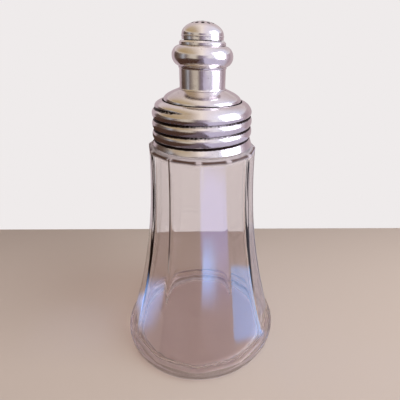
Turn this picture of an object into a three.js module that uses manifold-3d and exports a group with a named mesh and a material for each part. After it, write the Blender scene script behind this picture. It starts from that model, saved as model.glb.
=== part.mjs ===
// A sugar shaker, in millimetres, +Z up, with its origin at the centre of the foot.
// A pressed-glass jar with twelve flat panels flares out to a round heel. A silver-plated
// cap screws on to its mouth. The cap is built up from spun shells and one turned ring, as
// a silversmith would: thread collar, shoulder dome, neck, bead, step ring and a pierced
// crown, each set on a short sleeve of the next. Sugar runs up through the hollow cap and
// out of the crown's holes. Azimuth 0 is the front of the jar and faces -Y.

import * as THREE from 'three';
import { mergeVertices } from 'three/addons/utils/BufferGeometryUtils.js';
import Module from 'manifold-3d';

// Driving dimensions: the glass jar.
const foot_radius = 37.0;
const heel_radius = 39.9;
const heel_height = 3.6;
const flare_foot_radius = 38.9;
const flare_foot_height = 4.6;
const waist_radius = 23.05;
const panel_top_height = 103.0;
const panel_count = 12;
const panel_turn = THREE.MathUtils.degToRad(-3.3);
const shoulder_rise = 0.9;
const jar_wall = 2.8;
const jar_foot_wall = 2.0;
const thin_wall_height = 60.0;
const floor_thickness = 2.4;
const recess_radius = 34.6;
const recess_depth = 0.4;

// The flare is one cubic curve from the heel up to the waist. Its two pulls are shares of
// its height and of its spread.
const flare_upper_height_share = 0.682;
const flare_lower_height_share = 0.379;
const flare_lower_spread_share = 0.278;

// The inside leaves the flare to round into the floor at this share of it.
const inside_foot_share = 0.02;

// Driving dimensions: the threaded mouth of the jar and the cap that screws on to it.
const finish_radius = 18.9;
const mouth_radius = 14.8;
const lip_round = 0.9;
const inner_shoulder_drop = 3.0;
const thread_pitch = 4.2;
const glass_thread_depth = 0.8;
const glass_thread_start_turns = 0.3;
const glass_thread_turns = 2.0;
const glass_thread_sharpness = 4;
const rolled_thread_depth = 0.8;
const rolled_thread_start = 1.45;
const rolled_thread_turns = 3.45;
const rolled_thread_sharpness = 1.6;
const thread_margin_turns = 0.3;
const thread_fade_turns = 0.12;
const thread_azimuth = THREE.MathUtils.degToRad(210);
const thread_clearance = 0.5;
const plate = 0.5;
const seat_gap = 0.3;

// Driving dimensions: the collar, dome and neck.
const collar_height = 18.0;
const collar_round = 4.85;
const gasket_thickness = 1.2;
const gasket_width = 3.2;
const flange_width = 1.5;
const dome_wall_height = 0.5;
const dome_rise = 4.8;
const dome_lower_pull_share = 0.3;
const dome_upper_pull_share = 0.48;
const neck_radius = 9.0;
const neck_length = 7.0;
const sleeve_length = 2.2;

// Driving dimensions: the bead, step ring and pierced crown.
const cuff_overhang = 0.25;
const cuff_height = 0.5;
const bead_radius = 11.67;
const bead_bulge = 3.47;
const bead_half_height = 3.7;
const bead_mouth_radius = 8.25;
const step_radius = 8.75;
const step_top_radius = 8.25;
const step_height = 1.3;
const step_bore_radius = 6.5;
const crown_radius = 7.8;
const crown_skirt_height = 1.4;
const crown_rise = 4.7;
const crown_bead_height = 1.2;
const crown_bead_depth = 0.2;
const crown_bead_half_width = 0.2;
const hole_radius = 0.6;
const hole_rings = [
  { radius: 0, count: 1 },
  { radius: 2.1, count: 6 },
  { radius: 4.1, count: 12 },
];

// How finely the round forms are faceted.
const jar_sides = 36;
const cap_sides = 36;
const head_sides = 24;
const thread_rows_per_turn = 7;
const hidden_thread_rows_per_turn = 6;
const flare_rows = 11;
const heel_steps = 4;
const heel_top_steps = 3;
const lip_steps = 3;
const inner_shoulder_steps = 5;
const floor_steps = 5;
const collar_round_steps = 4;
const dome_steps = 5;
const bead_steps = 10;
const bead_inner_steps = 8;
const crown_steps = 9;
const crown_inner_steps = 7;
const hole_sides = 6;

const full_turn = 2 * Math.PI;
const quarter_turn = Math.PI / 2;

// Heights that follow from the sizes above, from the table up.
const flare_height = panel_top_height - flare_foot_height;
const shoulder_height = panel_top_height + shoulder_rise;
const collar_foot_height = shoulder_height + seat_gap;
const collar_top_height = collar_foot_height + collar_height;
const collar_radius = finish_radius + glass_thread_depth + thread_clearance + plate;
const collar_mouth_radius = collar_radius - collar_round;
const flange_top_height = collar_top_height - plate - seat_gap;
const gasket_top_height = flange_top_height - plate - seat_gap;
const lip_height = gasket_top_height - gasket_thickness - seat_gap;
const dome_radius = collar_mouth_radius - seat_gap;
const dome_top_height = flange_top_height + dome_wall_height + dome_rise;
const sleeve_radius = neck_radius - plate - seat_gap;
const neck_foot_height = dome_top_height + seat_gap;
const neck_top_height = neck_foot_height + neck_length;
const cuff_foot_height = neck_top_height + seat_gap;
const cuff_radius = neck_radius + cuff_overhang;

// A point of an outline: its radius and height, and whether the round form is cut there by
// the twelve panels or carries a thread.
function at(radius, height, shaping = {}) {
  return Object.assign(new THREE.Vector2(radius, height), shaping);
}

// Points along a three.js curve in the outline plane.
function along(curve, steps) {
  return curve.getPoints(steps).map((point) => at(point.x, point.y));
}

// Points on an elliptical arc of an outline, from one angle to another.
function arc(centre_radius, centre_height, half_width, half_height, from, to, steps) {
  const clockwise = to < from;
  return along(
    new THREE.EllipseCurve(centre_radius, centre_height, half_width, half_height, from, to, clockwise),
    steps,
  );
}

// A turned form. The outline runs up the outside and down the inside, and radiusAt may
// change the radius with the azimuth.
function turned(outline, sides, radiusAt = (point) => point.x, first_azimuth = 0) {
  const shape = new THREE.LatheGeometry(outline, sides);
  const place = shape.attributes.position;
  for (let side = 0; side <= sides; side += 1) {
    const azimuth = first_azimuth + ((side % sides) / sides) * full_turn;
    outline.forEach((point, row) => {
      const radius = radiusAt(point, azimuth);
      const vertex = side * outline.length + row;
      place.setXYZ(vertex, radius * Math.sin(azimuth), -radius * Math.cos(azimuth), point.y);
    });
  }
  shape.computeVertexNormals();
  return shape;
}

// A closed ring outline ends where it starts.
function ring(outline) {
  return [...outline, outline[0]];
}

// The share of the corner radius that a regular panel keeps at an azimuth.
function panelShare(azimuth) {
  const panel_angle = full_turn / panel_count;
  const past_corner = (azimuth - panel_turn + full_turn) % panel_angle;
  return Math.cos(panel_angle / 2) / Math.cos(past_corner - panel_angle / 2);
}

// How much of its full depth a right-handed thread has at a height and azimuth. The shape
// gives the depth at a distance from the thread's own line, in turns.
function threadDepth(height, azimuth, thread) {
  const turns_up = (height - thread.start_height) / thread_pitch - azimuth / full_turn;
  const nearest = Math.round(turns_up);
  const along_thread = nearest + azimuth / full_turn - thread.from_turn;
  const rising = THREE.MathUtils.smoothstep(along_thread, 0, thread_fade_turns);
  const sinking = THREE.MathUtils.smoothstep(thread.turns - along_thread, 0, thread_fade_turns);
  return rising * sinking * thread.shape(turns_up - nearest);
}

// The cap's thread is rolled into sheet, so it is a row of round beads with narrow grooves
// between. The jar's is a rounded ridge that lies half a pitch off, inside the beads.
const rolled_thread = {
  start_height: collar_foot_height + rolled_thread_start,
  from_turn: 0,
  turns: rolled_thread_turns,
  shape: (offset) => (1 - Math.abs(Math.sin(Math.PI * offset))) ** rolled_thread_sharpness,
};
const glass_thread = {
  start_height: rolled_thread.start_height + thread_pitch / 2,
  from_turn: glass_thread_start_turns,
  turns: glass_thread_turns,
  shape: (offset) => Math.cos(Math.PI * offset) ** glass_thread_sharpness,
};

// Both threads are counted from an azimuth behind the jar and to its left.
function fromThreadStart(azimuth) {
  return (azimuth - thread_azimuth + full_turn) % full_turn;
}

// Rows of an outline through a threaded stretch, closely spaced.
function threadRows(radiusOf, from, to, shaping, rows_per_turn) {
  const rows = Math.ceil((Math.abs(to - from) / thread_pitch) * rows_per_turn);
  return Array.from({ length: rows + 1 }, (_, row) => {
    const height = from + ((to - from) * row) / rows;
    return at(radiusOf(height), height, shaping);
  });
}

// The jar. Its panels are flat across and follow the flare down. They end in a round heel
// below and in a round shoulder above, so only the rows between are cut to the panels.
function glassBody() {
  const flare_spread = flare_foot_radius - waist_radius;
  const flare = new THREE.CubicBezierCurve(
    at(flare_foot_radius, flare_foot_height),
    at(waist_radius + flare_spread * flare_lower_spread_share,
      flare_foot_height + flare_height * flare_lower_height_share),
    at(waist_radius, flare_foot_height + flare_height * flare_upper_height_share),
    at(waist_radius, panel_top_height),
  );
  const panels = along(flare, flare_rows);
  panels.forEach((point) => {
    point.on_panels = true;
  });

  const heel_lower = arc(foot_radius, heel_height, heel_radius - foot_radius, heel_height,
    -quarter_turn, 0, heel_steps);
  const heel_upper = arc(flare_foot_radius, heel_height, heel_radius - flare_foot_radius,
    flare_foot_height - heel_height, 0, quarter_turn, heel_top_steps).slice(1, -1);

  const finish = threadRows(() => finish_radius, shoulder_height, lip_height - lip_round,
    { glass_thread: true }, hidden_thread_rows_per_turn);
  const lip = arc(finish_radius - lip_round, lip_height - lip_round, lip_round, lip_round,
    0, quarter_turn, lip_steps).slice(1);
  const lip_inside = arc(mouth_radius + lip_round, lip_height - lip_round, lip_round, lip_round,
    quarter_turn, Math.PI, lip_steps);

  // The inside follows the panels at one wall's distance. The wall thins down the flare, and
  // the inside rounds into the floor.
  const panel_inset_share = Math.cos(Math.PI / panel_count);
  const inside_waist_radius = waist_radius * panel_inset_share - jar_wall;
  const inner_shoulder_middle = shoulder_height - inner_shoulder_drop / 2;
  const inner_shoulder_foot = shoulder_height - inner_shoulder_drop;
  const inner_shoulder = along(new THREE.CubicBezierCurve(
    at(mouth_radius, shoulder_height),
    at(mouth_radius, inner_shoulder_middle),
    at(inside_waist_radius, inner_shoulder_middle),
    at(inside_waist_radius, inner_shoulder_foot),
  ), inner_shoulder_steps);
  const wall_inside = [];
  for (let row = 0; row <= flare_rows; row += 1) {
    const share = THREE.MathUtils.lerp(1, inside_foot_share, row / flare_rows);
    const outer = flare.getPoint(share);
    if (outer.y < inner_shoulder_foot) {
      const wall = THREE.MathUtils.lerp(jar_foot_wall, jar_wall, Math.min(1, outer.y / thin_wall_height));
      wall_inside.push(at(outer.x * panel_inset_share - wall, outer.y));
    }
  }
  const inside_foot = wall_inside.at(-1);
  const inside_floor_height = recess_depth + floor_thickness;
  const inside_corner = inside_foot.y - inside_floor_height;
  const floor_round = arc(inside_foot.x - inside_corner, inside_foot.y, inside_corner, inside_corner,
    0, -quarter_turn, floor_steps).slice(1);

  const outline = [
    at(0, recess_depth),
    at(recess_radius - recess_depth, recess_depth),
    at(recess_radius, 0),
    ...heel_lower,
    ...heel_upper,
    ...panels,
    ...finish,
    ...lip,
    ...lip_inside,
    ...inner_shoulder,
    ...wall_inside,
    ...floor_round,
    at(0, inside_floor_height),
  ];
  const radiusAt = (point, azimuth) => {
    if (point.on_panels) {
      return point.x * panelShare(azimuth);
    }
    if (point.glass_thread) {
      const depth = glass_thread_depth * threadDepth(point.y, fromThreadStart(azimuth), glass_thread);
      return point.x + depth;
    }
    return point.x;
  };
  return turned(outline, jar_sides, radiusAt, panel_turn);
}

// The thread collar: one spun shell with a rolled thread, turned in over the dome's flange.
function screwCollar() {
  const round_centre_height = collar_top_height - collar_round;
  const shellRadius = (height, round) => {
    const above = Math.max(0, height - round_centre_height);
    return collar_mouth_radius + Math.sqrt(Math.max(0, round ** 2 - above ** 2));
  };
  const threaded_turns = rolled_thread_turns + thread_margin_turns;
  const threaded_top = rolled_thread.start_height + threaded_turns * thread_pitch;
  const outer_round = collar_round;
  const inner_round = collar_round - plate;
  const threadedAngle = (round) => Math.asin((threaded_top - round_centre_height) / round);
  const outside = threadRows((height) => shellRadius(height, outer_round),
    collar_foot_height, threaded_top, { rolled_thread: true }, thread_rows_per_turn);
  const inside = threadRows((height) => shellRadius(height, inner_round),
    threaded_top, collar_foot_height, { rolled_thread: true }, hidden_thread_rows_per_turn);
  const turned_in = arc(collar_mouth_radius, round_centre_height, outer_round, outer_round,
    threadedAngle(outer_round), quarter_turn, collar_round_steps).slice(1);
  const turned_in_under = arc(collar_mouth_radius, round_centre_height, inner_round, inner_round,
    quarter_turn, threadedAngle(inner_round), collar_round_steps).slice(0, -1);
  const radiusAt = (point, azimuth) => {
    if (!point.rolled_thread) {
      return point.x;
    }
    const depth = threadDepth(point.y, fromThreadStart(azimuth), rolled_thread);
    return point.x - rolled_thread_depth * depth;
  };
  return turned(ring([...outside, ...turned_in, ...turned_in_under, ...inside]), cap_sides, radiusAt);
}

// The cork washer that the glass lip presses against.
function corkGasket() {
  const foot = gasket_top_height - gasket_thickness;
  return turned(ring([
    at(mouth_radius + gasket_width, foot),
    at(mouth_radius + gasket_width, gasket_top_height),
    at(mouth_radius, gasket_top_height),
    at(mouth_radius, foot),
  ]), cap_sides);
}

// The low dome. Its flange is trapped under the collar, and a short sleeve stands up from
// its top to carry the neck.
function shoulderDome() {
  const wall_top_height = flange_top_height + dome_wall_height;
  const domeCurve = (inset) => new THREE.CubicBezierCurve(
    at(dome_radius - inset, wall_top_height - inset),
    at(dome_radius - inset, wall_top_height - inset + dome_rise * dome_lower_pull_share),
    at(dome_radius - inset, wall_top_height - inset + dome_rise * dome_upper_pull_share),
    at(neck_radius - inset, dome_top_height - inset),
  );
  const sleeve_top_height = dome_top_height + sleeve_length;
  return turned(ring([
    at(dome_radius + flange_width, flange_top_height - plate),
    at(dome_radius + flange_width, flange_top_height),
    at(dome_radius, flange_top_height),
    ...along(domeCurve(0), dome_steps),
    at(sleeve_radius, dome_top_height),
    at(sleeve_radius, sleeve_top_height),
    at(sleeve_radius - plate, sleeve_top_height),
    at(sleeve_radius - plate, dome_top_height - plate),
    ...along(domeCurve(plate), dome_steps).reverse(),
    at(dome_radius - plate, flange_top_height - plate),
  ]), cap_sides);
}

// The neck is a plain drawn tube, slipped over the sleeves of the dome and the bead.
function neckTube() {
  return turned(ring([
    at(neck_radius, neck_foot_height),
    at(neck_radius, neck_top_height),
    at(neck_radius - plate, neck_top_height),
    at(neck_radius - plate, neck_foot_height),
  ]), head_sides);
}

// The bead: a hollow spun knop with a cuff at its foot that covers the end of the neck.
const bead_centre_radius = bead_radius - bead_bulge;
const bead_foot_height = cuff_foot_height + cuff_height;
const bead_foot_angle = -Math.acos((cuff_radius - bead_centre_radius) / bead_bulge);
const bead_centre_height = bead_foot_height - bead_half_height * Math.sin(bead_foot_angle);
const bead_top_radius = step_radius;
const bead_top_angle = Math.acos((bead_top_radius - bead_centre_radius) / bead_bulge);
const bead_top_height = bead_centre_height + bead_half_height * Math.sin(bead_top_angle);

function bead() {
  const outside = arc(bead_centre_radius, bead_centre_height, bead_bulge, bead_half_height,
    bead_foot_angle, bead_top_angle, bead_steps);
  const inside = arc(bead_centre_radius, bead_centre_height, bead_bulge - plate,
    bead_half_height - plate, bead_top_angle, bead_foot_angle, bead_inner_steps);
  const sleeve_foot_height = cuff_foot_height - sleeve_length;
  return turned(ring([
    at(sleeve_radius, sleeve_foot_height),
    at(sleeve_radius, cuff_foot_height),
    at(cuff_radius, cuff_foot_height),
    ...outside,
    at(bead_mouth_radius, bead_top_height),
    ...inside,
    at(sleeve_radius - plate, cuff_foot_height + plate),
    at(sleeve_radius - plate, sleeve_foot_height),
  ]), head_sides);
}

// The step ring is turned from the solid. A sleeve below it drops into the bead's mouth and
// a sleeve above it carries the crown.
const step_foot_height = bead_top_height + seat_gap;
const step_top_height = step_foot_height + step_height;
const crown_foot_height = step_top_height + seat_gap;

function stepRing() {
  const lower_sleeve_radius = bead_mouth_radius - seat_gap;
  const lower_sleeve_foot = step_foot_height - sleeve_length / 2;
  const upper_sleeve_radius = crown_radius - plate - seat_gap;
  const upper_sleeve_top = crown_foot_height + crown_skirt_height / 2;
  return turned(ring([
    at(lower_sleeve_radius, lower_sleeve_foot),
    at(lower_sleeve_radius, step_foot_height),
    at(step_radius, step_foot_height),
    at(step_radius, step_foot_height + step_height / 2),
    at(step_top_radius, step_top_height),
    at(upper_sleeve_radius, step_top_height),
    at(upper_sleeve_radius, upper_sleeve_top),
    at(step_bore_radius, upper_sleeve_top),
    at(step_bore_radius, lower_sleeve_foot),
  ]), head_sides);
}

const wasm = await Module();
wasm.setup();

// A closed three.js shape as a solid, with its shared vertices merged.
function solid(shape) {
  const bare = shape.clone();
  bare.deleteAttribute('normal');
  bare.deleteAttribute('uv');
  const merged = mergeVertices(bare);
  return new wasm.Manifold(new wasm.Mesh({
    numProp: 3,
    vertProperties: Float32Array.from(merged.attributes.position.array),
    triVerts: Uint32Array.from(merged.index.array),
  }));
}

function shapeOf(body) {
  const mesh = body.getMesh();
  const shape = new THREE.BufferGeometry();
  shape.setAttribute('position', new THREE.BufferAttribute(mesh.vertProperties, mesh.numProp));
  shape.setIndex(new THREE.BufferAttribute(mesh.triVerts, 1));
  shape.computeVertexNormals();
  return shape;
}

// The crown: a thin domed cap with a fine bead round its skirt, pierced by rings of holes
// that are drilled straight down.
function piercedCrown() {
  const spring_height = crown_foot_height + crown_skirt_height;
  const bead_height = crown_foot_height + crown_bead_height;
  const inner_radius = crown_radius - plate;
  const outline = [
    ...arc(0, spring_height, inner_radius, crown_rise - plate, quarter_turn, 0, crown_inner_steps),
    at(inner_radius, crown_foot_height),
    at(crown_radius, crown_foot_height),
    at(crown_radius, bead_height - crown_bead_half_width),
    at(crown_radius + crown_bead_depth, bead_height),
    at(crown_radius, bead_height + crown_bead_half_width),
    ...arc(0, spring_height, crown_radius, crown_rise, 0, quarter_turn, crown_steps).slice(1),
  ];
  let crown = solid(turned(outline, head_sides));
  for (const { radius, count } of hole_rings) {
    for (let hole = 0; hole < count; hole += 1) {
      const azimuth = (hole / count) * full_turn;
      const drill = new THREE.CylinderGeometry(hole_radius, hole_radius, crown_rise * 2, hole_sides);
      drill.rotateX(quarter_turn);
      drill.translate(radius * Math.sin(azimuth), -radius * Math.cos(azimuth), spring_height + crown_rise);
      crown = crown.subtract(solid(drill));
    }
  }
  return shapeOf(crown);
}

const clear_glass = new THREE.MeshStandardMaterial({
  color: 0xe6e0e4, roughness: 0.05, metalness: 0, transparent: true, opacity: 0.35,
});
const silver_plate = new THREE.MeshStandardMaterial({ color: 0xd9cdc2, roughness: 0.18, metalness: 1 });
const cork = new THREE.MeshStandardMaterial({ color: 0xa9794c, roughness: 0.9, metalness: 0 });

function named(name, shape, material) {
  const mesh = new THREE.Mesh(shape, material);
  mesh.name = name;
  return mesh;
}

const cap = new THREE.Group();
cap.add(
  named('screw_collar', screwCollar(), silver_plate),
  named('shoulder_dome', shoulderDome(), silver_plate),
  named('neck_tube', neckTube(), silver_plate),
  named('bead_knop', bead(), silver_plate),
  named('step_ring', stepRing(), silver_plate),
  named('pierced_crown', piercedCrown(), silver_plate),
);

const shaker = new THREE.Group();
shaker.add(
  named('glass_body', glassBody(), clear_glass),
  named('cork_gasket', corkGasket(), cork),
  cap,
);

export default shaker;
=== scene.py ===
# A silver-plated sugar shaker with a twelve-panel pressed-glass jar, built up from the foot
# to the pierced crown as it would be put together on a bench.
import math

import bpy
import numpy as np
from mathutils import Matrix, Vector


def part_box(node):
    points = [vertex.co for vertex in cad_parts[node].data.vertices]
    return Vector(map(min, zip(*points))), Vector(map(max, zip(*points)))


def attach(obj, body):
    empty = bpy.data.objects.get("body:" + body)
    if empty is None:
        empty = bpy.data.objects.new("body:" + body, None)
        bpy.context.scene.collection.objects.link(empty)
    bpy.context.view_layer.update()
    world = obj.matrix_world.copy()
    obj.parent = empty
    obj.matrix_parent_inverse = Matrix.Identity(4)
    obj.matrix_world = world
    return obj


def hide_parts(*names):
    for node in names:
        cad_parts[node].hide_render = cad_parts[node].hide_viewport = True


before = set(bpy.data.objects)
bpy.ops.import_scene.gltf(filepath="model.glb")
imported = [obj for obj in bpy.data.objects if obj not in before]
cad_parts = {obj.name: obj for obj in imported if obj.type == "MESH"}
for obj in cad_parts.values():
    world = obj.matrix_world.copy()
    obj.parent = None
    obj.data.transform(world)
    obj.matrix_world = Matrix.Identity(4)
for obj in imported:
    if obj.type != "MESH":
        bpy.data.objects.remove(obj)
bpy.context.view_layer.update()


# The glass jar. Clear soda-lime glass, pressed over a plunger in a twelve-sided mould, so the
# outside has crisp flat panels and the inside follows them softly. Its mouth carries a rounded
# right-handed thread, and its floor stands on a narrow ring.
MM = 0.001
heel_radius = 39.9 * MM
heel_height = 3.6 * MM
foot_radius = 37.0 * MM
flare_foot_radius = 38.9 * MM
flare_foot_height = 4.6 * MM
waist_radius = 23.05 * MM
panel_top_height = 103.5 * MM
shoulder_rise = 0.9 * MM
jar_wall = 2.8 * MM
jar_foot_wall = 2.0 * MM
thin_wall_height = 60.0 * MM
floor_thickness = 2.4 * MM
recess_radius = 34.6 * MM
recess_depth = 0.4 * MM
rubbed_top = 1.12 * MM
rubbed_fade = 0.7 * MM
finish_radius = 18.9 * MM
mouth_radius = 14.8 * MM
lip_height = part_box("glass_body")[1].z
lip_round = 0.9 * MM
inner_shoulder_drop = 3.0 * MM
panel_count = 12
panel_angle = math.tau / panel_count
panel_inset_share = math.cos(math.pi / panel_count)
panel_turn = math.radians(-3.3)
panel_edge_round = 0.3 * MM
edge_sharpness = 110
inside_sharpness = 60
panel_fade = 3.0 * MM
flare_upper_height_share = 0.682
flare_lower_height_share = 0.379
flare_lower_spread_share = 0.278
flare_steps = 90
inside_foot_share = 0.02
jar_steps = 288
column_nudge = 1e-6
hair = 0.01 * MM


def arc(radius, height, half_width, half_height, start, end, steps):
    """Points on an elliptical arc of a section, with angles in degrees."""
    return [
        (radius + half_width * math.cos(angle), height + half_height * math.sin(angle))
        for angle in np.radians(np.linspace(start, end, steps + 1))
    ]


def line(start, end, steps):
    """Points along a straight stretch of a section, without its first."""
    return [tuple(point) for point in np.linspace(start, end, steps + 1)[1:]]


def bend(start, pull_start, pull_end, end, steps):
    """Points on a cubic curve of a section."""
    t = np.linspace(0, 1, steps + 1)[:, None]
    weights = np.hstack([(1 - t) ** 3, 3 * (1 - t) ** 2 * t, 3 * (1 - t) * t**2, t**3])
    return [tuple(point) for point in weights @ np.array([start, pull_start, pull_end, end])]


def spun(name, section, steps):
    """Draws half a section as a chain of edges and spins it round Z into a closed mesh."""
    bpy.ops.object.select_all(action="DESELECT")
    bpy.ops.mesh.primitive_plane_add(size=MM)
    piece = bpy.context.object
    piece.name = piece.data.name = name
    bpy.ops.object.mode_set(mode="EDIT")
    bpy.ops.mesh.merge(type="CENTER")
    bpy.ops.transform.translate(value=(section[0][0], 0, section[0][1]))
    for start, end in zip(section, section[1:]):
        step = (end[0] - start[0], 0, end[1] - start[1])
        bpy.ops.mesh.extrude_region_move(TRANSFORM_OT_translate={"value": step})
    bpy.ops.mesh.select_all(action="SELECT")
    bpy.ops.mesh.spin(steps=steps, angle=math.tau, center=(0, 0, 0), axis=(0, 0, 1))
    bpy.ops.mesh.select_all(action="SELECT")
    bpy.ops.mesh.remove_doubles(threshold=0.001 * MM)
    bpy.ops.mesh.normals_make_consistent(inside=False)
    bpy.ops.mesh.faces_shade_smooth()
    bpy.ops.object.mode_set(mode="OBJECT")
    return piece


def round_places(piece):
    """Each vertex's radius, azimuth from the front and height, as arrays."""
    places = np.zeros(len(piece.data.vertices) * 3)
    piece.data.vertices.foreach_get("co", places)
    x, y, z = places.reshape(-1, 3).T
    return np.hypot(x, y), np.arctan2(x, -y), z


def set_round_places(piece, radius, azimuth, height):
    """Moves each vertex to its radius, azimuth and height."""
    places = np.stack([radius * np.sin(azimuth), -radius * np.cos(azimuth), height], 1)
    piece.data.vertices.foreach_set("co", places.ravel())
    piece.data.update()


def mark(piece, name, share):
    """Keeps a share from 0 to 1 for each vertex, which the finish reads as an attribute."""
    layer = piece.data.attributes.new(name, "FLOAT", "POINT")
    layer.data.foreach_set("value", np.ascontiguousarray(np.clip(share, 0, 1), dtype=np.float32))


flare_height = panel_top_height - flare_foot_height
flare_spread = flare_foot_radius - waist_radius
shoulder_height = panel_top_height + shoulder_rise
flare = bend(
    (flare_foot_radius, flare_foot_height),
    (waist_radius + flare_spread * flare_lower_spread_share,
     flare_foot_height + flare_height * flare_lower_height_share),
    (waist_radius, flare_foot_height + flare_height * flare_upper_height_share),
    (waist_radius, panel_top_height - panel_edge_round),
    flare_steps,
)
flare_radii, flare_heights = np.array(flare).T
inside_floor = recess_depth + floor_thickness
inside_waist = waist_radius * panel_inset_share - jar_wall
inside_foot_height = flare[int(flare_steps * inside_foot_share)][1]
inside_wall = []
for radius, height in flare[::-2]:
    if inside_foot_height < height < shoulder_height - inner_shoulder_drop:
        wall = np.interp(height, (0, thin_wall_height), (jar_foot_wall, jar_wall))
        inside_wall.append((radius * panel_inset_share - wall, height))
corner = inside_wall[-1][1] - inside_floor
jar_section = [
    (0, recess_depth),
    *line((0, recess_depth), (recess_radius - recess_depth, recess_depth), 6),
    *arc(recess_radius, recess_depth, recess_depth, recess_depth, 180, 270, 4),
    *arc(foot_radius, heel_height, heel_radius - foot_radius, heel_height, -90, 0, 14),
    *arc(flare_foot_radius, heel_height, heel_radius - flare_foot_radius,
         flare_foot_height - heel_height, 0, 84, 8)[1:],
    *flare,
    *arc(waist_radius - panel_edge_round, panel_top_height - panel_edge_round,
         panel_edge_round, panel_edge_round, 0, 75, 5)[1:],
    *line((waist_radius - panel_edge_round, panel_top_height), (finish_radius, shoulder_height), 6),
    *line((finish_radius, shoulder_height), (finish_radius, lip_height - lip_round), 44),
    *arc(finish_radius - lip_round, lip_height - lip_round, lip_round, lip_round, 0, 90, 6)[1:],
    *arc(mouth_radius + lip_round, lip_height - lip_round, lip_round, lip_round, 90, 180, 6),
    *bend((mouth_radius, shoulder_height), (mouth_radius, shoulder_height - inner_shoulder_drop / 2),
          (inside_waist, shoulder_height - inner_shoulder_drop / 2),
          (inside_waist, shoulder_height - inner_shoulder_drop), 14),
    *inside_wall,
    *arc(inside_wall[-1][0] - corner, inside_wall[-1][1], corner, corner, 0, -90, 16)[1:],
    *line((inside_wall[-1][0] - corner, inside_floor), (0, inside_floor), 6),
]
jar = spun("jar_glass", jar_section, jar_steps)

# The mould's flats are cut into the round flare, with their edges only just softened. The
# mesh's columns are drawn in towards the twelve corners, where the shape changes fast, and a
# nudge keeps the columns that lie on a corner all on one side of it.
radius, azimuth, height = round_places(jar)
azimuth = azimuth % math.tau + column_nudge
past_panel_middle = azimuth % panel_angle / panel_angle * 2 - 1
to_corner = np.sin(past_panel_middle * math.pi / 2)
azimuth += panel_turn + (to_corner - past_panel_middle) * panel_angle / 2
past_corner = (azimuth - panel_turn) % panel_angle
flats = np.abs([np.cos(past_corner - panels * panel_angle) for panels in (0.5, -0.5, 1.5)])
flat_share = panel_inset_share / np.sum(flats**edge_sharpness, axis=0) ** (1 / edge_sharpness)
outer_radius = np.interp(height, flare_heights, flare_radii)
within_wall = outer_radius - jar_wall / 3
on_panels = (height >= flare_foot_height - hair) & (height <= panel_top_height + hair)
on_panels &= radius > within_wall
inside = (radius < within_wall) & (height < shoulder_height)
to_floor = np.clip((height - inside_floor) / panel_fade, 0, 1)
to_shoulder = np.clip((shoulder_height - inner_shoulder_drop / 2 - height) / panel_fade, 0, 1)
softened_share = 1 / np.sum(flats**inside_sharpness, axis=0) ** (1 / inside_sharpness)
inside_growth = 1 + (softened_share - 1) * to_floor * to_shoulder
radius = np.where(on_panels, radius * flat_share, radius)
radius = np.where(inside, radius * inside_growth, radius)

# The screw thread, shared with the collar: its line rises one pitch a turn from behind left.
# The collar's foot stands a little higher than the CAD's, where the photograph has it.
thread_pitch = 4.2 * MM
thread_azimuth = math.radians(210)
thread_fade_turns = 0.12
collar_foot_lift = 0.6 * MM
plain_skirt = 1.2 * MM
collar_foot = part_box("screw_collar")[0].z + collar_foot_lift
rolled_thread_start = collar_foot + plain_skirt
glass_thread_depth = 0.8 * MM
glass_thread_turns = 2.0
glass_thread_start_turns = 0.3
glass_thread_sharpness = 4


def thread_places(azimuth, height, line_height, start_turns, turns):
    """How far each place is off the thread's line, in turns, and how fully it is formed there."""
    round_share = ((azimuth - thread_azimuth) % math.tau) / math.tau
    turns_up = (height - line_height) / thread_pitch - round_share
    nearest = np.round(turns_up)
    along = nearest + round_share - start_turns
    rising = np.clip(along / thread_fade_turns, 0, 1)
    sinking = np.clip((turns - along) / thread_fade_turns, 0, 1)
    formed = rising**2 * (3 - 2 * rising) * sinking**2 * (3 - 2 * sinking)
    return turns_up - nearest, formed


off_line, formed = thread_places(azimuth, height, rolled_thread_start + thread_pitch / 2,
                                 glass_thread_start_turns, glass_thread_turns)
on_finish = (height > shoulder_height) & (radius > finish_radius - lip_round / 2)
radius += on_finish * glass_thread_depth * formed * np.cos(np.pi * off_line) ** glass_thread_sharpness
set_round_places(jar, radius, azimuth, height)
mark(jar, "rubbed", (rubbed_top - height) / rubbed_fade)

# The shoulder is a little cloudy. Painted shade darkens the creases that the mould left along
# the top of each flat, and a dark line is painted down the corner where the mould's halves met.
milky_share = 0.6
milky_reach = 1.2 * MM
crease_reach = 0.35 * MM
crease_depth = 0.5 * MM
crease_gap = math.radians(2.5)
crease_fade = 0.3 * crease_gap
seam_azimuth = panel_turn - panel_angle
seam_width = math.radians(1.5)
seam_foot_height = 50.0 * MM
seam_fade = 12.0 * MM
off_top = height - panel_top_height
on_shoulder = np.exp(-((off_top / milky_reach) ** 2)) * (radius > finish_radius + lip_round)
mark(jar, "milky", milky_share * on_shoulder)
off_corner = np.abs((azimuth - panel_turn + panel_angle / 2) % panel_angle - panel_angle / 2)
off_seam = np.abs((azimuth - seam_azimuth + math.pi) % math.tau - math.pi)
in_crease = (np.abs(off_top) < crease_reach) & (radius > outer_radius * panel_inset_share - crease_depth)
crease_shade = in_crease * np.clip((off_corner - crease_gap) / crease_fade, 0, 1)
up_the_seam = np.clip((height - seam_foot_height) / seam_fade, 0, 1)
# A dark line is painted down one corner, from the middle of the jar up.
corner_line = on_panels * (off_seam < seam_width / 2) * up_the_seam
mark(jar, "crease_shade_and_corner_line", np.maximum(crease_shade, corner_line))


def linear(code):
    """A linear colour from its sRGB hex value."""
    channels = [int(code[place:place + 2], 16) / 255 for place in (1, 3, 5)]
    return [c / 12.92 if c <= 0.04045 else ((c + 0.055) / 1.055) ** 2.4 for c in channels] + [1.0]


def new_material(name):
    """A material whose node tree is still empty."""
    material = bpy.data.materials.new(name)
    material.use_nodes = True
    material.node_tree.nodes.clear()
    return material


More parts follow.
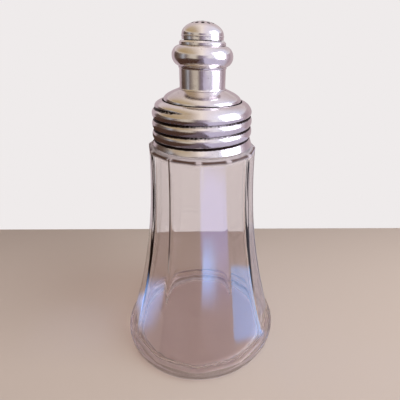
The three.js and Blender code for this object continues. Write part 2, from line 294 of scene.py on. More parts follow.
def add(material, kind, inputs=None, **settings):
    """Adds one node. Its inputs are values, or the sockets that feed them."""
    node = material.node_tree.nodes.new(kind)
    for name, value in settings.items():
        setattr(node, name, value)
    for name, value in (inputs or {}).items():
        if isinstance(value, bpy.types.NodeSocket):
            material.node_tree.links.new(value, node.inputs[name])
        else:
            node.inputs[name].default_value = value
    return node


# The sockets of a colour Mix node go by number, because their names repeat.
mix_from = 6
mix_to = 7
mixed = 2

# Soda-lime glass, pressed and fire polished: clear and glossy, faintly rosy where the sight
# line runs through much of it, with slow waves left by the mould. The underside is rubbed dull,
# the shoulder is cloudy, and brown painted shade fills the creases along the tops of the flats,
# with a dark line down one corner as well. Lamps shine through the jar.
mould_wave = 14 * MM
soda_lime = new_material("soda_lime_glass")
place = add(soda_lime, "ShaderNodeTexCoord").outputs["Object"]
mould_waves = add(soda_lime, "ShaderNodeTexNoise", {
    "Vector": place, "Scale": 1 / mould_wave, "Detail": 1.0})
glass_skin = add(soda_lime, "ShaderNodeBump", {
    "Height": mould_waves.outputs["Fac"], "Strength": 0.12, "Distance": 0.6 * MM})
rubbed = add(soda_lime, "ShaderNodeAttribute", attribute_name="rubbed").outputs["Fac"]
dulled = add(soda_lime, "ShaderNodeMapRange", {"Value": rubbed, "To Min": 0.025, "To Max": 0.5})
crease_shade_and_corner_line = add(soda_lime, "ShaderNodeAttribute", attribute_name="crease_shade_and_corner_line").outputs["Fac"]
milky = add(soda_lime, "ShaderNodeAttribute", attribute_name="milky").outputs["Fac"]
frosted = add(soda_lime, "ShaderNodeMix", {
    "Factor": milky, mix_from: linear("#F4EFEE"), mix_to: linear("#BFB0B4")}, data_type="RGBA")
# Dark brown painted shade along the tops of the flats, and the dark line down one corner.
darkened = add(soda_lime, "ShaderNodeMix", {
    "Factor": crease_shade_and_corner_line, mix_from: frosted.outputs[mixed], mix_to: linear("#4E3830")}, data_type="RGBA")
cloud_and_shade = add(soda_lime, "ShaderNodeMath", {0: milky, 1: crease_shade_and_corner_line}, operation="MAXIMUM")
see_through = add(soda_lime, "ShaderNodeMath", {
    0: 1.0, 1: cloud_and_shade.outputs["Value"]}, operation="SUBTRACT")
clear = add(soda_lime, "ShaderNodeBsdfPrincipled", {
    "Base Color": darkened.outputs[mixed], "Roughness": dulled.outputs["Result"], "IOR": 1.48,
    "Transmission Weight": see_through.outputs["Value"], "Normal": glass_skin.outputs["Normal"]})
shadow_ray = add(soda_lime, "ShaderNodeLightPath").outputs["Is Shadow Ray"]
open_way = add(soda_lime, "ShaderNodeBsdfTransparent", {"Color": linear("#F4F0F0")})
glass = add(soda_lime, "ShaderNodeMixShader", {
    0: shadow_ray, 1: clear.outputs["BSDF"], 2: open_way.outputs["BSDF"]})
tint = add(soda_lime, "ShaderNodeVolumeAbsorption", {"Color": linear("#DACFCF"), "Density": 50.0})
add(soda_lime, "ShaderNodeOutputMaterial", {
    "Surface": glass.outputs["Shader"], "Volume": tint.outputs["Volume"]})
jar.data.materials.append(soda_lime)
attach(jar, "jar")
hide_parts("glass_body")


# The washer. A ring punched from pressed cork that the glass lip beds into when the cap is
# screwed down. It hides inside the cap.
washer_low, washer_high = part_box("cork_gasket")
washer_round = 0.2 * MM
washer_bore = mouth_radius
washer_section = []
for radius, height, start in (
        (washer_high.y - washer_round, washer_low.z + washer_round, -90),
        (washer_high.y - washer_round, washer_high.z - washer_round, 0),
        (washer_bore + washer_round, washer_high.z - washer_round, 90),
        (washer_bore + washer_round, washer_low.z + washer_round, 180)):
    washer_section += arc(radius, height, washer_round, washer_round, start, start + 90, 3)
washer = spun("cork_washer", washer_section + washer_section[:1], steps=96)

# Pressed cork: granules of two to three millimetres in a darker binder, dry and matte.
cork_granule = 2.2 * MM
pressed_cork = new_material("pressed_cork")
place = add(pressed_cork, "ShaderNodeTexCoord").outputs["Object"]
granules = add(pressed_cork, "ShaderNodeTexVoronoi", {"Vector": place, "Scale": 1 / cork_granule})
cork_tones = add(pressed_cork, "ShaderNodeValToRGB", {"Fac": granules.outputs["Color"]})
cork_tones.color_ramp.elements[0].color = linear("#7D5636")
cork_tones.color_ramp.elements[1].color = linear("#C0925F")
cork_skin = add(pressed_cork, "ShaderNodeBump", {
    "Height": granules.outputs["Distance"], "Strength": 0.5, "Distance": 0.15 * MM})
dry_cork = add(pressed_cork, "ShaderNodeBsdfPrincipled", {
    "Base Color": cork_tones.outputs["Color"], "Roughness": 0.88, "Normal": cork_skin.outputs["Normal"]})
add(pressed_cork, "ShaderNodeOutputMaterial", {"Surface": dry_cork.outputs["BSDF"]})
washer.data.materials.append(pressed_cork)
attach(washer, "washer")
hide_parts("cork_gasket")


# The thread collar. One shell spun from thin brass and rolled over a threaded mandrel, so that
# round beads wind up it with narrow grooves between. It is turned in over the dome's flange and
# silver plated. Below the first groove it flares out to a plain skirt.
plate = 0.5 * MM
collar_radius = 20.7 * MM
collar_round = 4.85 * MM
rolled_thread_depth = 0.85 * MM
rolled_thread_turns = 3.42
rolled_thread_sharpness = 1.3
rolled_taper = 0.35 * MM
taper_fade = 2.0 * MM
skirt_hollow = 1.15
skirt_flare = 0.3 * MM
collar_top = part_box("screw_collar")[1].z
collar_mouth = collar_radius - collar_round
round_centre = collar_top - collar_round
rim_round = 0.22 * MM
collar_section = [
    *arc(collar_radius - rim_round, collar_foot + rim_round, rim_round, rim_round, -90, 0, 4),
    *line((collar_radius, collar_foot + rim_round), (collar_radius, round_centre), 130),
    *arc(collar_mouth, round_centre, collar_round, collar_round, 0, 86, 60)[1:],
    *arc(collar_mouth + rim_round, collar_top - rim_round, rim_round, rim_round, 90, 180, 4),
    *arc(collar_mouth, round_centre, collar_round - plate, collar_round - plate, 86, 0, 20)[1:],
    *line((collar_radius - plate, round_centre), (collar_radius - plate, collar_foot + rim_round), 40),
]
collar = spun("silver_collar", collar_section + collar_section[:1], steps=240)

# The sheet is pressed in along the groove's line and let out below the first groove.
radius, azimuth, height = round_places(collar)
off_line, formed = thread_places(azimuth, height, rolled_thread_start, 0, rolled_thread_turns)
first_turn = ((azimuth - thread_azimuth) % math.tau) / math.tau
formed_first = np.clip(first_turn / thread_fade_turns, 0, 1)
groove = formed * (1 - np.abs(np.sin(np.pi * off_line))) ** rolled_thread_sharpness
first_groove = rolled_thread_start + thread_pitch * first_turn
up_the_skirt = (height - collar_foot) / (first_groove - collar_foot)
skirt = np.where(up_the_skirt < 1, formed_first * np.clip(up_the_skirt, 0, 1) ** skirt_hollow, 0)
let_out = skirt_flare * (up_the_skirt < 1) * formed_first * (1 - up_the_skirt)
pressed_in = rolled_thread_depth * np.maximum(groove, skirt)
drawn_in = rolled_taper * np.clip((height - collar_foot) / (round_centre - collar_foot), 0, 1)
drawn_in *= np.clip((radius - collar_mouth) / taper_fade, 0, 1)
set_round_places(collar, radius + let_out - pressed_in - drawn_in, azimuth, height)


def fading_dark(distance, reach, most=1.0):
    """Darkening that thins out with the distance from the crease or edge where it starts."""
    return most * np.exp(-np.abs(distance) / reach)


def filled(distance, reach):
    """Dirt that fills a seam and ends soon past it."""
    return np.clip(1.5 - distance / reach, 0, 1)


# Tarnish and painted shade fill the grooves, less so around the front and near the top, and
# dirt lines the foot and the seam with the dome.
darkened_depth_share = 0.3
full_dark_depth_share = 0.7
lighter_groove_azimuth = math.radians(12)
lighter_groove_width = math.radians(38)
lighter_groove_share = 0.5
top_groove_share = 0.75
groove_tarnish_and_shade = (groove - darkened_depth_share) / (full_dark_depth_share - darkened_depth_share)
groove_tarnish_and_shade = np.clip(groove_tarnish_and_shade, 0, 1)
off_lighter_grooves = (azimuth - lighter_groove_azimuth + math.pi) % math.tau - math.pi
near_lighter_grooves = np.exp(-((off_lighter_grooves / lighter_groove_width) ** 2))
groove_tarnish_and_shade *= 1 - lighter_groove_share * near_lighter_grooves * (height > first_groove + 0.5 * thread_pitch)
groove_tarnish_and_shade *= np.where(height > first_groove + 2.5 * thread_pitch, top_groove_share, 1)
rim_dirt = fading_dark(height - collar_foot, reach=0.25 * MM, most=0.7)
seam_dirt = (height > round_centre) * filled(radius - collar_mouth, reach=0.3 * MM)
mark(collar, "crevice_dirt_and_shade", np.maximum(groove_tarnish_and_shade, np.maximum(rim_dirt, seam_dirt)))

# Silver plate on brass: warm white metal, hand polished so long that it is soft with fine
# scratches, shallow dents, a few pits and a brown tarnish that no cloth reaches in the grooves.
# The same dark brown is also painted shade in the grooves, in the crown's holes and at the
# neck's top under the bead.
# The scratches are drawn coarser than real ones, so that they show.
bloom_width = 9.0 * MM
pit_spacing = 2.6 * MM
crust_grain = 0.8 * MM
scratch_length = 0.9 * MM
scratch_slimness = 7.0
dent_width = 3.5 * MM
silver = new_material("silver_plate")
place = add(silver, "ShaderNodeTexCoord").outputs["Object"]
clouds = add(silver, "ShaderNodeTexNoise", {"Vector": place, "Scale": 1 / bloom_width, "Detail": 4.0})
bloom = add(silver, "ShaderNodeValToRGB", {"Fac": clouds.outputs["Fac"]})
bloom.color_ramp.elements[0].position = 0.35
bloom.color_ramp.elements[0].color = linear("#E2DBD9")
bloom.color_ramp.elements[1].position = 0.7
bloom.color_ramp.elements[1].color = linear("#F4F0EF")
crevice_dirt_and_shade = add(silver, "ShaderNodeAttribute", attribute_name="crevice_dirt_and_shade").outputs["Fac"]
pits = add(silver, "ShaderNodeTexVoronoi", {"Vector": place, "Scale": 1 / pit_spacing})
pit_spots = add(silver, "ShaderNodeMapRange", {
    "Value": pits.outputs["Distance"], "From Min": 0.05, "From Max": 0.09, "To Min": 0.55, "To Max": 0.0})
crust = add(silver, "ShaderNodeTexNoise", {"Vector": place, "Scale": 1 / crust_grain, "Detail": 3.0})
crusted = add(silver, "ShaderNodeMath", {
    0: crust.outputs["Fac"], 1: 0.9, 2: crevice_dirt_and_shade}, operation="MULTIPLY_ADD")
tarnish_and_shade = add(silver, "ShaderNodeMapRange", {
    "Value": crusted.outputs["Value"], "From Min": 0.72, "From Max": 1.15, "To Min": 0.0, "To Max": 1.0})
dirt_and_shade = add(silver, "ShaderNodeMath", {
    0: tarnish_and_shade.outputs["Result"], 1: pit_spots.outputs["Result"]}, operation="MAXIMUM")
# The dark mix carries tarnish, pits and dirt at the joints, and painted shade where the attribute marks
# it.
plated = add(silver, "ShaderNodeMix", {
    "Factor": dirt_and_shade.outputs["Value"], mix_from: bloom.outputs["Color"], mix_to: linear("#2A1F1C")},
    data_type="RGBA")
scratch_lay = add(silver, "ShaderNodeMapping", {"Vector": place, "Scale": (1.0, 1.0, scratch_slimness)})
scratches = add(silver, "ShaderNodeTexNoise", {
    "Vector": scratch_lay.outputs["Vector"], "Scale": 1 / scratch_length, "Detail": 3.0})
sheen = add(silver, "ShaderNodeMapRange", {
    "Value": scratches.outputs["Fac"], "From Min": 0.3, "From Max": 0.7, "To Min": 0.12, "To Max": 0.22})
dulled = add(silver, "ShaderNodeMath", {
    0: dirt_and_shade.outputs["Value"], 1: 0.35, 2: sheen.outputs["Result"]}, operation="MULTIPLY_ADD")
dents = add(silver, "ShaderNodeTexNoise", {"Vector": place, "Scale": 1 / dent_width, "Detail": 2.0})
dented = add(silver, "ShaderNodeBump", {
    "Height": dents.outputs["Fac"], "Strength": 0.35, "Distance": 0.12 * MM})
silver_skin = add(silver, "ShaderNodeBump", {
    "Height": scratches.outputs["Fac"], "Strength": 0.1, "Distance": 0.03 * MM,
    "Normal": dented.outputs["Normal"]})
metal = add(silver, "ShaderNodeBsdfPrincipled", {
    "Base Color": plated.outputs[mixed], "Metallic": 1.0, "Roughness": dulled.outputs["Value"],
    "Normal": silver_skin.outputs["Normal"]})
add(silver, "ShaderNodeOutputMaterial", {"Surface": metal.outputs["BSDF"]})


def fit_to_cap(piece, node):
    """Plates a piece, and lets it ride and stand for its node on the cap."""
    piece.data.materials.append(silver)
    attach(piece, "cap")
    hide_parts(node)


fit_to_cap(collar, "screw_collar")


# The shoulder dome. A low cup spun from the same sheet. Its flange sits on the washer under
# the collar's rim, and it closes in to a sleeve that carries the neck.
seam_gap = 0.3 * MM
dome_low, dome_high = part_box("shoulder_dome")
dome_radius = collar_mouth - seam_gap
dome_wall_height = 0.5 * MM
neck_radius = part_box("neck_tube")[1].y
sleeve_radius = neck_radius - plate - seam_gap
flange_top = dome_low.z + plate
dome_wall_top = flange_top + dome_wall_height
dome_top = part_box("neck_tube")[0].z - seam_gap
dome_rise = dome_top - dome_wall_top
dome_lower_pull_share = 0.3
dome_upper_pull_share = 0.48


def dome_line(inset, steps):
    """The dome's profile at a distance inside its outer face."""
    radius, height = dome_radius - inset, dome_wall_top - inset
    return bend((radius, height), (radius, height + dome_rise * dome_lower_pull_share),
                (radius, height + dome_rise * dome_upper_pull_share),
                (neck_radius - inset, dome_top - inset), steps)


dome_section = [
    (dome_high.y, dome_low.z),
    (dome_high.y, flange_top),
    (dome_radius, flange_top),
    *dome_line(0, 40),
    (sleeve_radius, dome_top),
    (sleeve_radius, dome_high.z),
    (sleeve_radius - plate, dome_high.z),
    (sleeve_radius - plate, dome_top - plate),
    *dome_line(plate, 24)[::-1],
    (dome_radius - plate, dome_low.z),
]
dome = spun("silver_dome", dome_section + dome_section[:1], steps=192)
radius, azimuth, height = round_places(dome)
seam_dirt = filled(height - collar_top, reach=0.25 * MM) * (radius > dome_radius - plate / 2)
foot_dirt = fading_dark(radius - neck_radius, reach=0.25 * MM, most=0.3) * (height > dome_top - plate)
mark(dome, "crevice_dirt_and_shade", np.maximum(seam_dirt, foot_dirt))
fit_to_cap(dome, "shoulder_dome")


# The neck. A short drawn tube of plated brass, slipped over the sleeves of the dome and the
# bead. A fillet of solder runs round its foot, and solder fills the seam above it.
neck_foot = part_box("neck_tube")[0].z
neck_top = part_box("neck_tube")[1].z
solder_reach = 0.6 * MM
solder_rise = 0.9 * MM
solder_drop = 0.2 * MM
solder_line = 0.27 * MM
edge_round = 0.18 * MM
neck_section = [
    (neck_radius - plate, neck_foot),
    *arc(neck_radius + solder_reach, dome_top + solder_rise - solder_drop, solder_reach, solder_rise,
         262, 180, 10),
    *line((neck_radius, dome_top + solder_rise - solder_drop), (neck_radius, neck_top - edge_round), 30),
    *arc(neck_radius - edge_round, neck_top - edge_round, edge_round, edge_round, 0, 90, 4)[1:],
    (neck_radius - plate, neck_top),
]
neck = spun("silver_neck", neck_section + neck_section[:1], steps=160)
radius, azimuth, height = round_places(neck)
# The neck darkens towards both ends; at its top this is painted shade under the bead's cuff.
to_end = np.minimum(height - neck_foot, neck_top - height)
mark(neck, "crevice_dirt_and_shade", fading_dark(to_end, reach=0.2 * MM, most=0.3))
fit_to_cap(neck, "neck_tube")


# The bead. A hollow round knop of plated brass, spun in one with a small cuff that covers the
# neck's end and a sleeve that goes down inside it, where it is soldered.
bead_low, bead_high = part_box("bead_knop")
bead_radius = 11.67 * MM
bead_bulge = 3.47 * MM
bead_half_height = 3.7 * MM
cuff_radius = neck_radius + 0.25 * MM
cuff_height = 0.5 * MM
step_radius = 8.75 * MM
bead_mouth = 8.25 * MM
cuff_foot = neck_top + seam_gap
bead_ring_radius = bead_radius - bead_bulge
foot_angle = -math.degrees(math.acos((cuff_radius - bead_ring_radius) / bead_bulge))
top_angle = math.degrees(math.acos((step_radius - bead_ring_radius) / bead_bulge))
bead_centre = cuff_foot + cuff_height - bead_half_height * math.sin(math.radians(foot_angle))
bead_section = [
    (sleeve_radius, bead_low.z),
    (sleeve_radius, cuff_foot),
    (neck_radius, cuff_foot - solder_line),
    *arc(cuff_radius - edge_round, cuff_foot - solder_line + edge_round,
         edge_round, edge_round, -90, 0, 4),
    *arc(bead_ring_radius, bead_centre, bead_bulge, bead_half_height, foot_angle, top_angle, 56),
    (bead_mouth, bead_high.z),
    *arc(bead_ring_radius, bead_centre, bead_bulge - plate, bead_half_height - plate,
         top_angle, foot_angle, 30),
    (sleeve_radius - plate, cuff_foot + plate),
    (sleeve_radius - plate, bead_low.z),
]
bead = spun("silver_bead", bead_section + bead_section[:1], steps=180)
radius, azimuth, height = round_places(bead)
cuff_dirt = fading_dark(height - cuff_foot - cuff_height, reach=0.2 * MM, most=0.4)
mouth_dirt = fading_dark(bead_high.z - height, reach=0.25 * MM, most=0.4)
mark(bead, "crevice_dirt_and_shade", np.maximum(cuff_dirt, mouth_dirt))
fit_to_cap(bead, "bead_knop")


# The step ring. Turned from thick brass tube and silver plated, it is soldered into the bead's
# mouth and steps in to the crown.
step_low, step_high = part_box("step_ring")
step_top_radius = 8.25 * MM
step_bore = 6.5 * MM
step_foot = bead_high.z + seam_gap
step_height = 0.62 * MM
step_top = step_foot + 1.3 * MM
crown_radius = 7.8 * MM
upper_sleeve = crown_radius - plate - seam_gap
lower_sleeve = bead_mouth - seam_gap
step_section = [
    (lower_sleeve, step_low.z),
    (lower_sleeve, step_foot - solder_line),
    *arc(step_radius - edge_round, step_foot - solder_line + edge_round,
         edge_round, edge_round, -90, 0, 4),
    *arc(step_radius - edge_round, step_foot + step_height, edge_round, edge_round, 0, 50, 3),
    *arc(step_top_radius - edge_round, step_top - edge_round, edge_round, edge_round, 20, 90, 4),
    (upper_sleeve, step_top),
    (upper_sleeve, step_high.z),
    (step_bore, step_high.z),
    (step_bore, step_low.z),
]
step = spun("silver_step_ring", step_section + step_section[:1], steps=160)
radius, azimuth, height = round_places(step)
to_end = np.minimum(np.abs(height - step_foot), np.abs(height - step_top))
mark(step, "crevice_dirt_and_shade", fading_dark(to_end, reach=0.2 * MM, most=0.45))
fit_to_cap(step, "step_ring")


# The pierced crown. A thin domed cap pressed from plated brass, with a fine bead rolled round
# its skirt. Its top is drilled with rings of holes that the sugar falls through.
crown_low, crown_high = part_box("pierced_crown")
crown_skirt = 1.4 * MM
crown_spring = crown_low.z + crown_skirt
crown_rise = 4.7 * MM
crown_bead_height = crown_low.z + 1.2 * MM
crown_bead = 0.2 * MM
hole_radius = 0.6 * MM
hole_shade_reach = 0.12 * MM
hole_shade_share = 0.7
holes = [
    (ring_radius * math.sin(turn), -ring_radius * math.cos(turn))
    for ring_radius, count in ((0, 1), (2.1 * MM, 6), (4.1 * MM, 12))
    for turn in np.arange(count) * math.tau / count
]
crown_inside = crown_radius - plate
crown_section = [
    *arc(0, crown_spring, crown_inside, crown_rise - plate, 90, 0, 36),
    (crown_inside, crown_low.z),
    *line((crown_radius, crown_low.z - solder_line),
          (crown_radius, crown_bead_height - 1.4 * crown_bead), 6),
    *arc(crown_radius, crown_bead_height, crown_bead, crown_bead, -90, 90, 8),
    *arc(0, crown_spring + crown_bead, crown_radius, crown_rise - crown_bead, 0, 90, 48)[1:],
]
crown = spun("silver_crown", crown_section, steps=160)
for hole_x, hole_y in holes:
    bpy.ops.mesh.primitive_cylinder_add(
        vertices=24, radius=hole_radius, depth=2 * crown_rise, location=(hole_x, hole_y, crown_high.z))
    drill = bpy.context.object
    bpy.ops.object.select_all(action="DESELECT")
    crown.select_set(True)
    bpy.context.view_layer.objects.active = crown
    bpy.ops.object.modifier_add(type="BOOLEAN")
    crown.modifiers[-1].object = drill
    crown.modifiers[-1].solver = "EXACT"
    bpy.ops.object.modifier_apply(modifier=crown.modifiers[-1].name)
    bpy.data.objects.remove(drill)
bpy.ops.object.shade_smooth_by_angle(angle=math.radians(40))
radius, azimuth, height = round_places(crown)
off_bead = np.abs(height - crown_bead_height) - 1.6 * crown_bead
bead_dirt = fading_dark(off_bead, reach=0.15 * MM, most=0.5)
skirt_dirt = fading_dark(height - crown_low.z, reach=0.2 * MM, most=0.5)
x, y = radius * np.sin(azimuth), -radius * np.cos(azimuth)
# Painted shade darkens the holes' walls and a thin ring round each, where their insides lie in shadow.
hole_shade = np.zeros(len(radius))
for hole_x, hole_y in holes:
    off_hole = np.hypot(x - hole_x, y - hole_y) - hole_radius
    hole_shade = np.maximum(hole_shade, hole_shade_share * np.clip(1 - off_hole / hole_shade_reach, 0, 1))
mark(crown, "crevice_dirt_and_shade", np.maximum(hole_shade, np.maximum(bead_dirt, skirt_dirt)))
fit_to_cap(crown, "pierced_crown")


# The studio: a plain pale tabletop before a pale backdrop, one large window of light on the
# right, and toned screens out of the picture, which polished silver needs to show its form.
tabletop_paint = new_material("tabletop_paint")
matte_paint = add(tabletop_paint, "ShaderNodeBsdfPrincipled", {
    "Base Color": linear("#BFB2A5"), "Roughness": 0.9, "Specular IOR Level": 0.1})
add(tabletop_paint, "ShaderNodeOutputMaterial", {"Surface": matte_paint.outputs["BSDF"]})
table_width = 3.0
table_depth = 1.6
table_behind = 0.094
table_thickness = 0.02
bpy.ops.object.select_all(action="DESELECT")
bpy.ops.mesh.primitive_cube_add(size=1.0)
tabletop = bpy.context.object
tabletop.name = "floor"
tabletop.dimensions = (table_width, table_depth, table_thickness)
tabletop.location = (0, table_behind - table_depth / 2, -table_thickness / 2)
tabletop.data.materials.append(tabletop_paint)


def light_only(thing):
    """Keeps a screen out of the picture. It shows only in what is polished."""
    thing.visible_camera = False
    thing.visible_diffuse = False
    thing.visible_transmission = False
    thing.visible_shadow = False


def glow(name, colour, strength=1.0, edge=0.0):
    """A card of one tone, which shows in polished metal as it is. Its edge may fade out."""
    material = new_material(name)
    tone = add(material, "ShaderNodeEmission", {"Color": linear(colour), "Strength": strength})
    surface = tone.outputs["Emission"]
    if edge:
        on_card = add(material, "ShaderNodeTexCoord").outputs["Generated"]
        middle = add(material, "ShaderNodeVectorMath", {
            0: on_card, 1: (0.5, 0.5, 0.5)}, operation="SUBTRACT")
        to_edge = add(material, "ShaderNodeVectorMath", {
            0: middle.outputs["Vector"]}, operation="ABSOLUTE")
        sides = add(material, "ShaderNodeSeparateXYZ", {"Vector": to_edge.outputs["Vector"]})
        fades = [add(material, "ShaderNodeMapRange", {
            "Value": sides.outputs[side], "From Min": 0.5 - edge, "From Max": 0.5,
            "To Min": 1.0, "To Max": 0.0}, interpolation_type="SMOOTHSTEP") for side in "XY"]
        shown = add(material, "ShaderNodeMath", {
            0: fades[0].outputs["Result"], 1: fades[1].outputs["Result"]}, operation="MULTIPLY")
        nothing = add(material, "ShaderNodeBsdfTransparent")
        faded = add(material, "ShaderNodeMixShader", {
            0: shown.outputs["Value"], 1: nothing.outputs["BSDF"], 2: surface})
        surface = faded.outputs["Shader"]
    add(material, "ShaderNodeOutputMaterial", {"Surface": surface})
    return material


# A ring of toned paper stands round the table. Its tones are placed by their azimuths from
# the front towards the right, and each runs softly into the next.
ring_distance = 0.5
ring_foot = -0.3
ring_top = 0.3
ring_tones = (
    (-132, "#BFAEB4"), (-121, "#54423A"), (-98, "#66554B"), (-84, "#7C7878"), (-75, "#B4B6BE"),
    (-64, "#746663"), (-44, "#CBC0B2"), (-26, "#D2C8BA"), (-13, "#74656B"), (8, "#B5A9BD"),
    (26, "#FBF8FF"), (50, "#C6CAE0"), (100, "#CBBECA"), (114, "#A5929E"), (138, "#BFAEB4"))
bpy.ops.mesh.primitive_cylinder_add(
    vertices=180, radius=ring_distance, depth=ring_top - ring_foot, end_fill_type="NOTHING",
    location=(0, 0, (ring_top + ring_foot) / 2))
paper_ring = bpy.context.object
paper_ring.name = "paper_ring"
toned_paper = new_material("toned_paper")
place = add(toned_paper, "ShaderNodeTexCoord").outputs["Object"]
split = add(toned_paper, "ShaderNodeSeparateXYZ", {"Vector": place})
forward = add(toned_paper, "ShaderNodeMath", {0: split.outputs["Y"], 1: -1.0}, operation="MULTIPLY")
around = add(toned_paper, "ShaderNodeMath", {
    0: split.outputs["X"], 1: forward.outputs["Value"]}, operation="ARCTAN2")
around_share = add(toned_paper, "ShaderNodeMapRange", {
    "Value": around.outputs["Value"], "From Min": -math.pi, "From Max": math.pi})
tones = add(toned_paper, "ShaderNodeValToRGB", {"Fac": around_share.outputs["Result"]})
for angle, colour in ring_tones:
    tones.color_ramp.elements.new((angle + 180) / 360).color = linear(colour)
for end in (0, -1):
    tones.color_ramp.elements[end].color = linear(ring_tones[0][1])
lit_paper = add(toned_paper, "ShaderNodeEmission", {"Color": tones.outputs["Color"]})
add(toned_paper, "ShaderNodeOutputMaterial", {"Surface": lit_paper.outputs["Emission"]})
paper_ring.data.materials.append(toned_paper)
light_only(paper_ring)

# Toned cloths lie on the table, where the lower half of each rolled bead looks, with panes of
# sky that the jar's flats show. Shelves hang over the panes and hide them from the cap. Each
# has its name, tone, strength and soft edge, then its sides, height in mm and turn.
for name, colour, strength, edge, left, right, front, back, up, turn in (
        ("brown_cloth", "#4C362C", 1.0, 0.0, -490, -70, -480, 94, 2, 0),
        ("plum_cloth", "#6C5E66", 1.0, 0.0, -70, 14, -480, -45, 2, 0),
        ("lilac_cloth", "#ABA2B8", 1.0, 0.0, 14, 490, -480, -45, 2, 0),
        ("pearl_cloth", "#BDB6C6", 1.0, 0.0, 45, 490, -45, 94, 2, 0),
        ("sky_pane", "#50ABFF", 5.2, 0.12, 32, 118, -60, -14, 5, 0),
        ("lilac_pane", "#8C9AFF", 5.4, 0.42, 14, 150, -320, -60, 5, 0),
        ("far_pane", "#D0D8FF", 3.6, 0.45, 74, 104, -330, -190, 6, 22),
        ("streak_pane", "#7CB4FF", 13.0, 0.45, 34, 58, -182, -84, 6, 27),
        ("left_pane", "#8FB8FF", 4.5, 0.28, -100, -38, -28, 18, 5, 0),
        ("front_shelf", "#C6BED6", 1.0, 0.0, 5, 170, -340, -14, 102, 0),
        ("right_shelf", "#C8C0D6", 1.0, 0.0, 17, 170, -14, 4, 102, 0),
        ("plum_shelf", "#6C5E66", 1.0, 0.0, -14, 5, -340, -14, 102, 0),
        ("umber_shelf", "#4C362C", 1.0, 0.0, -135, -14, -120, -14, 102, 0),
        ("left_shelf", "#4C362C", 1.0, 0.0, -135, -17, -14, 30, 102, 0)):
    bpy.ops.mesh.primitive_plane_add(
        size=1.0, rotation=(0, 0, math.radians(turn)),
        location=((left + right) / 2 * MM, (front + back) / 2 * MM, up * MM))
    cloth = bpy.context.object
    cloth.name = name
    cloth.scale = ((right - left) * MM, (back - front) * MM, 1)
    cloth.data.materials.append(glow(name, colour, strength, edge))
    light_only(cloth)

# A brown board behind the table's back edge dims the table there. Only the table sees it.
board_height = 0.1
board_gap = 0.004
bpy.ops.mesh.primitive_plane_add(
    size=1.0, rotation=(math.pi / 2, 0, 0), location=(0, table_behind + board_gap, board_height / 2))
board = bpy.context.object
board.name = "brown_board"
board.scale = (table_width, board_height, 1)
board.data.materials.append(glow("brown_board", "#57392C"))
board.visible_camera = False
board.visible_glossy = False
board.visible_transmission = False

# The window: a lamp that lights the scene, and a pane of the same size with soft edges, which
# is what the silver shows. The lamp stands higher and further off, to light the table evenly.
window_azimuth = math.radians(70)
window_aim_height = 0.12
pane_lift = math.radians(14)
pane_distance = 0.45
lamp_lift = math.radians(36)
lamp_distance = 0.75
window_size = (0.44, 0.66)
window_lamp = bpy.data.lights.new("window_lamp", "AREA")
window_lamp.shape = "RECTANGLE"
window_lamp.size, window_lamp.size_y = window_size
window_lamp.energy = 5.0
window_lamp.color = linear("#F6F8FF")[:3]
lamp = bpy.data.objects.new("window_lamp", window_lamp)
bpy.context.scene.collection.objects.link(lamp)
lamp.visible_glossy = False
bpy.ops.mesh.primitive_plane_add(size=1.0)
window_pane = bpy.context.object
window_pane.name = "window_pane"
window_pane.scale = (*window_size, 1)
window_pane.data.materials.append(glow("window_pane", "#EDEBFF", 4.0, 0.16))
light_only(window_pane)
for thing, distance, lift in (
        (lamp, lamp_distance, lamp_lift), (window_pane, pane_distance, pane_lift)):
    thing.location = (distance * math.sin(window_azimuth) * math.cos(lift),
                      -distance * math.cos(window_azimuth) * math.cos(lift),
                      window_aim_height + distance * math.sin(lift))
    thing.rotation_euler = (math.pi / 2 - lift, 0, window_azimuth)

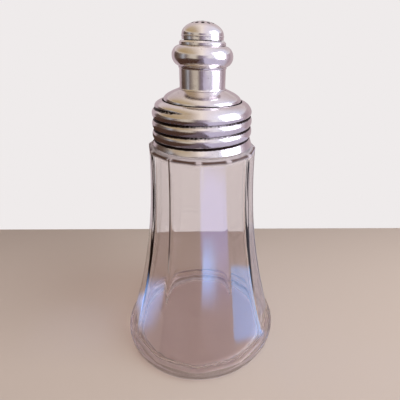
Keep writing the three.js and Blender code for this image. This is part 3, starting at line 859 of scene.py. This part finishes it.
# The room's air: pale at table height, which is the backdrop of the picture, and toned above
# from warm on the left to cool on the right, duller behind.
world = bpy.data.worlds.new("studio")
bpy.context.scene.world = world
world.use_nodes = True
air = world.node_tree.nodes["Background"]
way = add(world, "ShaderNodeTexCoord").outputs["Generated"]
split = add(world, "ShaderNodeSeparateXYZ", {"Vector": way})
across = add(world, "ShaderNodeMapRange", {
    "Value": split.outputs["X"], "From Min": -0.8, "From Max": 0.8})
upper_air = add(world, "ShaderNodeValToRGB", {"Fac": across.outputs["Result"]})
upper_air.color_ramp.elements[0].color = linear("#B39C78")
upper_air.color_ramp.elements[1].color = linear("#E4E8FF")
for share, colour in ((0.2, "#C2B099"), (0.33, "#DFD1C6"), (0.47, "#FFF4EC"), (0.62, "#F4ECF6")):
    upper_air.color_ramp.elements.new(share).color = linear(colour)
behind = add(world, "ShaderNodeMapRange", {"Value": split.outputs["Y"], "From Min": 0.3, "From Max": 0.8})
whole_air = add(world, "ShaderNodeMix", {
    "Factor": behind.outputs["Result"], mix_from: upper_air.outputs["Color"],
    mix_to: linear("#CDBEC1")},
    data_type="RGBA")
height_share = add(world, "ShaderNodeMapRange", {
    "Value": split.outputs["Z"], "From Min": 0.1, "From Max": 0.5})
blend = add(world, "ShaderNodeMix", {
    "Factor": height_share.outputs["Result"], mix_from: linear("#EFEBEB"),
    mix_to: whole_air.outputs[mixed]},
    data_type="RGBA")
world.node_tree.links.new(blend.outputs[mixed], air.inputs["Color"])
air.inputs["Strength"].default_value = 1.0

# The camera stands close and looks down on the shaker, which is left of the middle of the
# lens's own view, as in the photograph's cropped frame.
camera_distance = 130.4 * MM
camera_height = 144.5 * MM
camera_pitch = math.radians(27.4)
camera_yaw = math.radians(5.0)
camera_roll = math.radians(2.5)
focal_pixels = 310.7
crop_pixels = 26.3
frame_pixels = 400
camera_data = bpy.data.cameras.new("camera")
camera_data.sensor_width = 36.0
camera_data.lens = camera_data.sensor_width * focal_pixels / frame_pixels
camera_data.shift_x = -crop_pixels / frame_pixels
camera_data.clip_start = 0.005
camera = bpy.data.objects.new("camera", camera_data)
bpy.context.scene.collection.objects.link(camera)
camera.location = (0, -camera_distance, camera_height)
camera.rotation_euler = (math.pi / 2 - camera_pitch, 0, -camera_yaw)
camera.rotation_euler.rotate_axis("Z", camera_roll)
bpy.context.scene.camera = camera
bpy.context.scene.view_settings.view_transform = "Standard"
